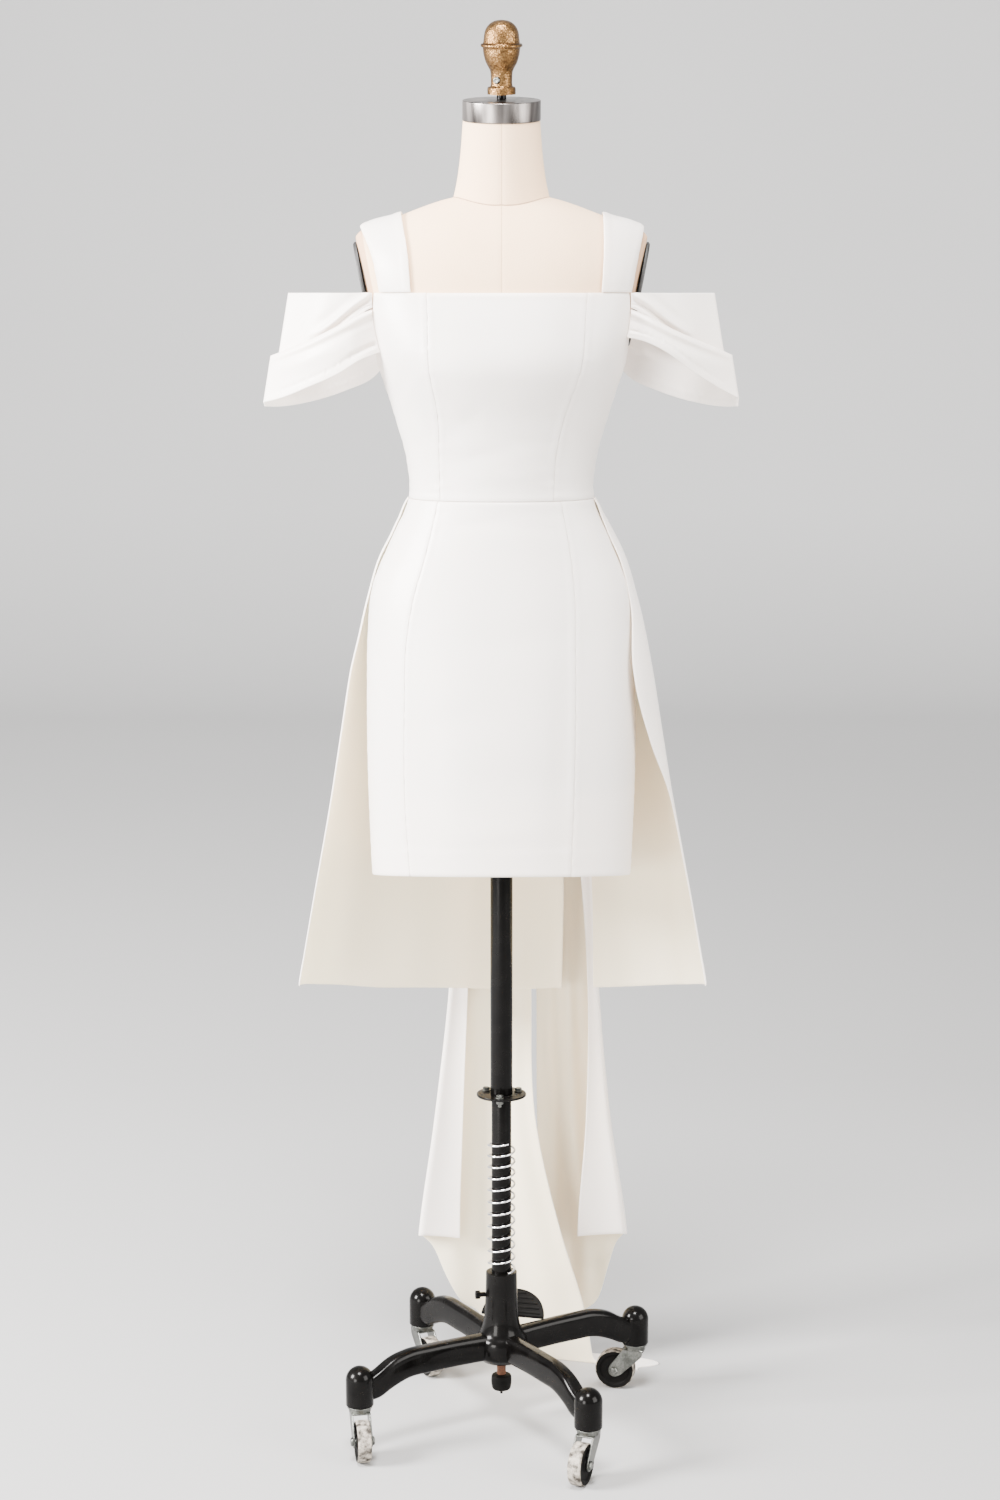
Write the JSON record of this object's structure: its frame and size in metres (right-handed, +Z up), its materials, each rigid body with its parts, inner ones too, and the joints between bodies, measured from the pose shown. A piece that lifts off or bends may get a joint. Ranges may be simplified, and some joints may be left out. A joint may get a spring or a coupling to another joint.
{
  "type": "off-shoulder mini dress with overskirt and tails on a limbless dress form with a caster stand",
  "caption": "Ivory off-shoulder mini dress with a flared overskirt and long trailing tails, worn on a linen dress form with a black wheeled stand.",
  "frame": {"origin": "middle of the plan of the whole part, on the floor", "axes": "+Z up; the front of the dress looks along -Y; +X is on the right of someone who looks at the front"},
  "size_m": [0.6001, 0.4966, 1.8169],
  "materials": {
    "satin": "ivory satin-backed twill, soft sheen",
    "linen": "cream linen stretched over the form",
    "dark_plate": "dark matt plate",
    "brushed_steel": "brushed",
    "brass": "aged, hammered",
    "black_paint": "gloss black enamel",
    "chrome": "bright plated wire",
    "zinc": "zinc plated pressed steel",
    "rust": "bare and rusty",
    "rubber": "worn rubber"
  },
  "bodies": {
    "stand": {"bodice_front": "satin", "bodice_side_front_left": "satin", "bodice_side_front_right": "satin", "bodice_back_left": "satin", "bodice_back_right": "satin", "strap_left": "satin", "strap_right": "satin", "sleeve_upper_left": "satin", "sleeve_upper_right": "satin", "sleeve_lower_left": "satin", "sleeve_lower_right": "satin", "skirt_front": "satin", "skirt_side_front_left": "satin", "skirt_side_front_right": "satin", "skirt_back_left": "satin", "skirt_back_right": "satin", "overskirt_left": "satin", "overskirt_right": "satin", "tail_left": "satin", "tail_right": "satin", "form_body": "linen", "armhole_plate_left": "dark_plate", "armhole_plate_right": "dark_plate", "neck_cap": "brushed_steel", "stem": "black_paint", "knob": "brass", "knob_screw": "zinc", "pole_upper": "black_paint", "collar": "black_paint", "collar_bolt_1": "zinc", "collar_bolt_2": "zinc", "collar_bolt_3": "zinc", "pole_lower": "black_paint", "height_spring": "chrome", "base": "black_paint", "lock_screw": "black_paint", "release_rod": "rust", "stopper": "rubber"},
    "pedal": {"pedal": "rubber"},
    "swivel_front_left": {"fork_front_left": "zinc", "axle_front_left": "zinc"},
    "roller_front_left": {"wheel_front_left": "rubber"},
    "swivel_front_right": {"fork_front_right": "zinc", "axle_front_right": "zinc"},
    "roller_front_right": {"wheel_front_right": "rubber"},
    "swivel_back_right": {"fork_back_right": "zinc", "axle_back_right": "zinc"},
    "roller_back_right": {"wheel_back_right": "rubber"},
    "swivel_back_left": {"fork_back_left": "zinc", "axle_back_left": "zinc"},
    "roller_back_left": {"wheel_back_left": "rubber"}
  },
  "joints": [
    {"name": "swivel_front_left", "type": "hinge", "parent": "stand", "child": "swivel_front_left", "pos_m": [-0.18335, -0.12267, 0.06], "axis": [0, 0, 1], "continuous": true},
    {"name": "roll_front_left", "type": "hinge", "parent": "swivel_front_left", "child": "roller_front_left", "pos_m": [-0.17866, -0.14926, 0.02727], "axis": [0.9848, 0.1736, 0], "continuous": true},
    {"name": "swivel_front_right", "type": "hinge", "parent": "stand", "child": "swivel_front_right", "pos_m": [0.11017, -0.19585, 0.06], "axis": [0, 0, 1], "continuous": true},
    {"name": "roll_front_right", "type": "hinge", "parent": "swivel_front_right", "child": "roller_front_right", "pos_m": [0.10005, -0.22088, 0.02727], "axis": [0.9272, -0.3746, 0], "continuous": true},
    {"name": "swivel_back_right", "type": "hinge", "parent": "stand", "child": "swivel_back_right", "pos_m": [0.18335, 0.09767, 0.06], "axis": [0, 0, 1], "continuous": true},
    {"name": "roll_back_right", "type": "hinge", "parent": "swivel_back_right", "child": "roller_back_right", "pos_m": [0.15704, 0.10374, 0.02727], "axis": [-0.225, -0.9744, 0], "continuous": true},
    {"name": "swivel_back_left", "type": "hinge", "parent": "stand", "child": "swivel_back_left", "pos_m": [-0.11017, 0.17085, 0.06], "axis": [0, 0, 1], "continuous": true},
    {"name": "roll_back_left", "type": "hinge", "parent": "swivel_back_left", "child": "roller_back_left", "pos_m": [-0.09876, 0.14638, 0.02727], "axis": [0.9063, 0.4226, 0], "continuous": true},
    {"name": "pedal_press", "type": "hinge", "parent": "stand", "child": "pedal", "pos_m": [0.01064, 0.03019, 0.103], "axis": [-0.9703, 0.2419, 0], "range_deg": [0, 12], "stiffness_Nm_per_rad": 0.8, "springref_deg": -20.05}
  ]
}
